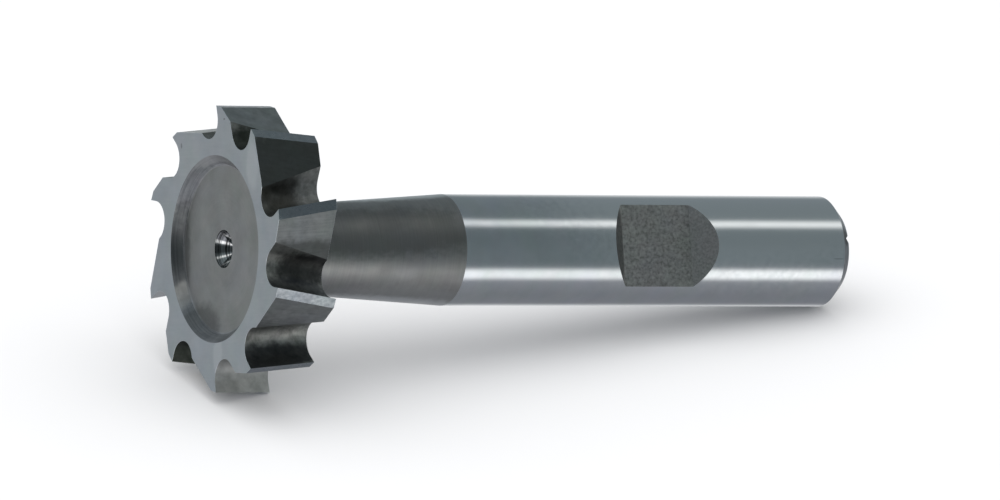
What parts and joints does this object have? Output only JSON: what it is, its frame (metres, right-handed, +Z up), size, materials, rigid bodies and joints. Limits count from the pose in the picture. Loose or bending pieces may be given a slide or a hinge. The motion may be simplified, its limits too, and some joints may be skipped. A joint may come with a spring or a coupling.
{
  "type": "woodruff keyseat cutter",
  "caption": "Small shank-type cutter that mills half-moon key seats in shafts: a narrow disc with staggered teeth on a tapering neck and a plain shank with a clamping flat.",
  "frame": {"origin": "on the floor, under the middle of the box, with the cutter lying at rest on two teeth and the rim of its shank", "axes": "+X along the floor under the tool's axis, from the cutting head to the end of the shank, the axis dipping about 7.5 degrees that way; +Z up"},
  "size_m": [0.0646, 0.0256, 0.0253],
  "materials": {
    "tool_steel": "bare high speed steel: ground bright on the shank, the side faces and the lands, turned and hardened grey on the neck and in the recess, darker in the gullets"
  },
  "bodies": {
    "root": {"keyseat_cutter": "tool_steel"}
  },
  "joints": []
}
